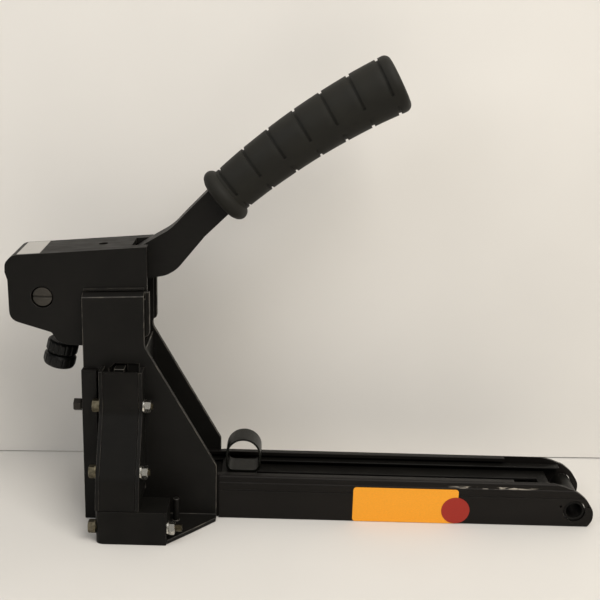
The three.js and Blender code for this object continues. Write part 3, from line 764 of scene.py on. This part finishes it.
class STAPLER_OT_screws(bpy.types.Operator):
    """Makes the hexagon screws that hold the claw housings, with heads, washers and threads"""

    bl_idname = "stapler.screws"
    bl_label = "Hexagon screws"

    def execute(self, context):
        sizes = context.scene.stapler_sizes
        yellow = context.scene.stapler_colours.yellow_zinc
        # yellow zinc darkened as painted shade on the screw heads
        finish = bright_metal("yellow_zinc_steel", yellow, 0.34, 0.5, 0.45)
        masters = {}  # one screw for each length
        for place in BOLT_NODES:
            low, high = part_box(f"{place}_bolt")
            length = high.x - low.x
            kind = round(length / MM, 1)
            if kind not in masters:
                thread_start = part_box(f"{place}_nut")[1].x - THREAD_LENGTH - low.x
                masters[kind] = self.make_screw(f"screw_{len(masters)}", sizes, length, thread_start)
            middle = (low + high) / 2
            piece = copied(masters[kind], f"{place}_screw", Matrix.Translation((low.x, middle.y, middle.z)))
            finished(piece, finish, "frame", "zinc", f"{place}_bolt", smooth_below=SMOOTH_METAL)
        removed(*masters.values())
        return {"FINISHED"}

    @staticmethod
    def make_screw(name, sizes, length, thread_start):
        """One screw along X with its head at 0: hexagon, pressed-on washer, plain shank and thread."""
        piece = hex_blank(name, HEAD_THICKNESS, sizes, both_ends=False)
        body = rod("screw_body", WASHER_RADIUS, WASHER_THICKNESS, 32, start=HEAD_THICKNESS)
        bpy.ops.object.mode_set(mode="EDIT")
        pick_faces(body, lambda face: face.normal.x > 0.9)
        bpy.ops.mesh.inset(thickness=WASHER_RADIUS - SHANK_RADIUS)
        carry_on(HEAD_THICKNESS + WASHER_THICKNESS, thread_start, 1)
        turns = int((length - thread_start) / sizes.thread_pitch)
        half = (length - thread_start) / turns / 2
        root = (SHANK_RADIUS - THREAD_DEPTH) / SHANK_RADIUS
        for step in range(2 * turns):
            here = thread_start + step * half
            carry_on(here, here + half, 1 / root if step % 2 else root)
        outwards(body)
        deselect()
        piece.select_set(True)
        body.select_set(True)
        bpy.context.view_layer.objects.active = piece
        bpy.ops.object.join()
        return piece


class STAPLER_OT_nuts(bpy.types.Operator):
    """Makes the nuts behind the claw housings, each on its washer"""

    bl_idname = "stapler.nuts"
    bl_label = "Hexagon nuts"

    def execute(self, context):
        zinc = context.scene.stapler_colours.zinc
        finish = bright_metal("clear_zinc_steel", zinc, 0.16, 0.34, 0.5)
        low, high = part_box(f"{BOLT_NODES[0]}_nut")
        master = self.make_nut("nut", context.scene.stapler_sizes, high.x - low.x)
        for place in BOLT_NODES:
            low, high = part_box(f"{place}_nut")
            middle = (low + high) / 2
            piece = copied(master, f"{place}_hex_nut", Matrix.Translation((low.x, middle.y, middle.z)))
            finished(piece, finish, "frame", "zinc", f"{place}_nut", smooth_below=SMOOTH_METAL)
        removed(master)
        return {"FINISHED"}

    @staticmethod
    def make_nut(name, sizes, length):
        """One nut along X with its washer at 0, bored through for the screw."""
        piece = hex_blank(name, length - WASHER_THICKNESS, sizes, both_ends=True)
        piece.data.transform(Matrix.Translation((WASHER_THICKNESS, 0, 0)))
        washer = rod("washer", WASHER_RADIUS, WASHER_THICKNESS, 32)
        bore = rod("bore", BORE_RADIUS, 4 * length, 24, start=-2 * length)
        modified(piece, "BOOLEAN", operation="UNION", object=washer, solver="EXACT")
        modified(piece, "BOOLEAN", operation="DIFFERENCE", object=bore, solver="EXACT")
        removed(washer, bore)
        return piece


# ---------- return springs ----------

SPRING_TURNS = 11
SPRING_WIRE = 1.0 * MM  # its diameter


class STAPLER_OT_springs(bpy.types.Operator):
    """Makes the two coil springs under the ram"""

    bl_idname = "stapler.springs"
    bl_label = "Return springs"

    def execute(self, context):
        steel = bright_metal("bright_spring_wire", context.scene.stapler_colours.steel, 0.26, 0.4, 0.55)
        low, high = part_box("near_return_spring")
        height = high.z - low.z
        master = self.make_spring((high.x - low.x) / 2 - SPRING_WIRE / 2, height - SPRING_WIRE)
        for side in ("near", "far"):
            low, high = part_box(f"{side}_return_spring")
            foot = Vector(((low.x + high.x) / 2, (low.y + high.y) / 2, low.z))
            place = Matrix.Translation(foot + Vector((0, 0, SPRING_WIRE / 2)))
            piece = copied(master, f"{side}_coil_spring", place)
            finished(piece, steel, "frame", "bare_steel", f"{side}_return_spring")
            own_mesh(piece)
        removed(master)
        return {"FINISHED"}

    @staticmethod
    def make_spring(radius, height):
        """One coil standing on the ground: a ring of wire swept up its helix, with flat ends."""
        deselect()
        bpy.ops.mesh.primitive_circle_add(
            vertices=8, radius=SPRING_WIRE / 2, location=(radius, 0, 0), rotation=(math.pi / 2, 0, 0)
        )
        piece = named("spring")
        modified(
            piece, "SCREW", axis="Z", steps=20, iterations=SPRING_TURNS, screw_offset=height / SPRING_TURNS
        )
        bpy.ops.object.mode_set(mode="EDIT")
        bpy.ops.mesh.select_mode(type="VERT")
        bpy.ops.mesh.select_all(action="DESELECT")
        bpy.ops.mesh.select_non_manifold()
        bpy.ops.mesh.fill_holes(sides=0)
        outwards(piece)
        return piece


# ---------- labels ----------

# Each label on the near rail, in millimetres: its piece, paper, colour, width, height, corner radius,
# middle along X and above the ground, and how many sheets it stands out from the rail.
RAIL_LABELS = (
    ("orange_label", "orange_label_paper", "orange_paper", 73.9, 26.1, 2.2, 223.0, 13.2, 1.0),
    ("round_label", "red_label_paper", "red_paper", 20, 20, 9.99, 258.4, 10.3, 2.1),
)
HEAD_LABEL_ENDS = (-43.6, -28.2)
HEAD_LABEL_SHARE = 0.84  # of the head's width
HEAD_LABEL_CORNER = 0.5 * MM
ABOVE_HEAD = 260
CORNER_STEPS = 6


def rounded_sheet(name, width, height, corner, thickness):
    """A blank sheet in the XY plane about its middle, with rounded corners and a thickness below it."""
    deselect()
    bpy.ops.mesh.primitive_plane_add(size=1)
    bpy.context.object.scale = (width, height, 1)
    piece = named(name)
    bpy.ops.object.mode_set(mode="EDIT")
    bpy.ops.mesh.select_all(action="SELECT")
    bpy.ops.mesh.bevel(offset=corner, segments=CORNER_STEPS, affect="VERTICES")
    bpy.ops.mesh.select_all(action="SELECT")
    bpy.ops.mesh.extrude_region_move(TRANSFORM_OT_translate={"value": (0, 0, -thickness)})
    outwards(piece)
    return piece


class STAPLER_OT_labels(bpy.types.Operator):
    """Makes the three blank paper labels"""

    bl_idname = "stapler.labels"
    bl_label = "Blank labels"

    def execute(self, context):
        colours = context.scene.stapler_colours
        thickness = context.scene.stapler_sizes.label_thickness
        rail_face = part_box("near_rail")[0].y
        stand_up = Matrix.Rotation(math.pi / 2, 4, "X")
        for name, paper, colour, width, height, corner, x, z, sheets in RAIL_LABELS:
            sheet = rounded_sheet(name, width * MM, height * MM, corner * MM, thickness)
            place = at(x, 0, z)
            place.y = rail_face - sheets * thickness
            sheet.data.transform(Matrix.Translation(place) @ stand_up)
            finished(sheet, coated_paper(paper, getattr(colours, colour)), "frame", "paper_label")
        self.head_label(colours, thickness)
        return {"FINISHED"}

    @staticmethod
    def head_label(colours, thickness):
        """The white label across the front of the head's sloping top, whose slope is read off the node."""
        tops = []
        for x in HEAD_LABEL_ENDS:
            hit, place, _, _ = NODES["head_housing"].ray_cast(at(x, 0, ABOVE_HEAD), Vector((0, 0, -1)))
            if not hit:
                raise RuntimeError("the head has no top under the label")
            tops.append(place)
        front, back = tops
        along = back - front
        low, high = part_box("head_housing")
        width = (high.y - low.y) * HEAD_LABEL_SHARE
        sheet = rounded_sheet("head_label", along.length, width, HEAD_LABEL_CORNER, thickness)
        slope = math.atan2(along.z, along.x)
        middle = (front + back) / 2 + Vector((0, 0, thickness))
        sheet.data.transform(Matrix.Translation(middle) @ Matrix.Rotation(-slope, 4, "Y"))
        finished(sheet, coated_paper("white_label_paper", colours.white_paper), "frame", "paper_label")


# ---------- studio ----------

LENS = 64.993
SENSOR = 36.0
CAMERA_PLACE = at(136.571, -711.299, 368.304)
CAMERA_YAW = math.radians(0.66476)  # to the right of +Y
CAMERA_PITCH = math.radians(16.7293)  # downwards
CAMERA_ROLL = math.radians(1.79195)

STAGE_WIDTH = 6
WALL_HEIGHT = 3
WALL_MIDDLE = Vector((0.0, 0.0836, 0.0))  # the wall's foot, behind the magazine
WALL_TURN = math.radians(1.84)
WALL_GAP = 0.9 * MM  # shadow line between wall and floor
FLOOR_DROP = 0.15 * MM  # how far the floor lies below the soles
FLOOR_PAINTED_SHADE = 0.84  # painted shade: the floor's board is made darker than the wall's, standing in for less light on the floor

# Soft lights: name, place, what it points at, size, watts and colour. The key is high on the right,
# the fill comes from the left, and the last one hangs overhead.
LIGHTS = (
    ("key", (0.75, -1.0, 1.5), (0.05, 0.0, 0.1), (1.2, 1.0), 28, "#fffaf4"),
    ("fill", (-1.1, -1.0, 1.0), (-0.05, 0.0, 0.15), (1.0, 1.0), 7, "#f6f8ff"),
    ("top", (0.1, -0.25, 1.5), (0.05, 0.02, 0.0), (1.4, 0.9), 5, "#ffffff"),
)
SURROUND_COLOUR = "#f4f0e8"
SURROUND_STRENGTH = 0.3


class STAPLER_OT_stage(bpy.types.Operator):
    """Makes the pale floor and wall, the soft lights and the camera"""

    bl_idname = "stapler.stage"
    bl_label = "Stage"

    def execute(self, context):
        self.floor_and_wall(context.scene.stapler_colours.board)
        for light in LIGHTS:
            self.soft_light(*light)
        self.surround(context.scene)
        self.camera(context.scene)
        context.scene.view_settings.view_transform = "Standard"
        return {"FINISHED"}

    @staticmethod
    def floor_and_wall(colour):
        """Two flat sheets that meet in a thin shadow line."""
        upright = Matrix.Rotation(math.pi / 2, 4, "X")
        lift = Matrix.Translation((0, 0, WALL_HEIGHT / 2 + WALL_GAP))
        stand = Matrix.Translation(WALL_MIDDLE) @ Matrix.Rotation(WALL_TURN, 4, "Z") @ lift @ upright
        lie = Matrix.Translation((0, 0, -FLOOR_DROP))
        # the floor's copy of the board is darkened as painted shade
        for name, height, place, shade in (
            ("floor", STAGE_WIDTH, lie, FLOOR_PAINTED_SHADE),
            ("wall", WALL_HEIGHT, stand, 1),
        ):
            deselect()
            bpy.ops.mesh.primitive_plane_add(size=1)
            bpy.context.object.scale = (STAGE_WIDTH, height, 1)
            sheet = named(name)
            sheet.data.transform(place)
            sheet.data.materials.append(laminate_board(f"pale_laminate_{name}", tint(colour, shade)))

    @staticmethod
    def soft_light(name, place, target, size, power, colour):
        """A rectangular soft light that points at a target."""
        light = bpy.data.lights.new(name, "AREA")
        light.shape = "RECTANGLE"
        light.size, light.size_y = size
        light.energy = power
        light.color = linear(colour)[:3]
        lamp = bpy.data.objects.new(name, light)
        lamp.location = place
        lamp.rotation_euler = (Vector(target) - Vector(place)).to_track_quat("-Z", "Y").to_euler()
        bpy.context.scene.collection.objects.link(lamp)

    @staticmethod
    def surround(scene):
        """An even, dim, pale surround."""
        world = bpy.data.worlds.new("surround")
        world.use_nodes = True
        background = world.node_tree.nodes["Background"]
        background.inputs["Color"].default_value = linear(SURROUND_COLOUR)
        background.inputs["Strength"].default_value = SURROUND_STRENGTH
        scene.world = world

    @staticmethod
    def camera(scene):
        """A camera in front, above and to the left of the middle, rolled slightly."""
        flat = math.cos(CAMERA_PITCH)
        ahead = Vector((math.sin(CAMERA_YAW) * flat, math.cos(CAMERA_YAW) * flat, -math.sin(CAMERA_PITCH)))
        level = Vector((math.cos(CAMERA_YAW), -math.sin(CAMERA_YAW), 0))
        above = level.cross(ahead)
        right = math.cos(CAMERA_ROLL) * level + math.sin(CAMERA_ROLL) * above
        up = math.cos(CAMERA_ROLL) * above - math.sin(CAMERA_ROLL) * level
        data = bpy.data.cameras.new("camera")
        data.lens = LENS
        data.sensor_width = SENSOR
        camera = bpy.data.objects.new("camera", data)
        turn = Matrix((right, up, -ahead)).transposed().to_4x4()
        camera.matrix_world = Matrix.Translation(CAMERA_PLACE) @ turn
        scene.collection.objects.link(camera)
        scene.camera = camera


# ---------- panel and registration ----------

OPERATORS = (
    STAPLER_OT_stage,
    STAPLER_OT_frame_finishes,
    STAPLER_OT_grip,
    STAPLER_OT_screws,
    STAPLER_OT_nuts,
    STAPLER_OT_springs,
    STAPLER_OT_labels,
)


class STAPLER_PT_panel(bpy.types.Panel):
    """Lists the pieces, the sizes and the colours"""

    bl_idname = "STAPLER_PT_panel"
    bl_label = "Carton Stapler"
    bl_space_type = "VIEW_3D"
    bl_region_type = "UI"
    bl_category = "Stapler"

    def draw(self, context):
        for operator in OPERATORS:
            self.layout.operator(operator.bl_idname)
        for group in (context.scene.stapler_sizes, context.scene.stapler_colours):
            column = self.layout.column()
            for name in group.bl_rna.properties.keys():
                if name not in ("rna_type", "name"):
                    column.prop(group, name)


CLASSES = (StaplerSizes, StaplerColours, *OPERATORS, STAPLER_PT_panel)


def register():
    for one in CLASSES:
        bpy.utils.register_class(one)
    bpy.types.Scene.stapler_sizes = PointerProperty(type=StaplerSizes)
    bpy.types.Scene.stapler_colours = PointerProperty(type=StaplerColours)


def unregister():
    del bpy.types.Scene.stapler_colours
    del bpy.types.Scene.stapler_sizes
    for one in reversed(CLASSES):
        bpy.utils.unregister_class(one)


def main():
    """Makes everything in order."""
    register()
    for operator in OPERATORS:
        group, name = operator.bl_idname.split(".")
        getattr(getattr(bpy.ops, group), name)()
    deselect()


if __name__ == "__main__":
    main()
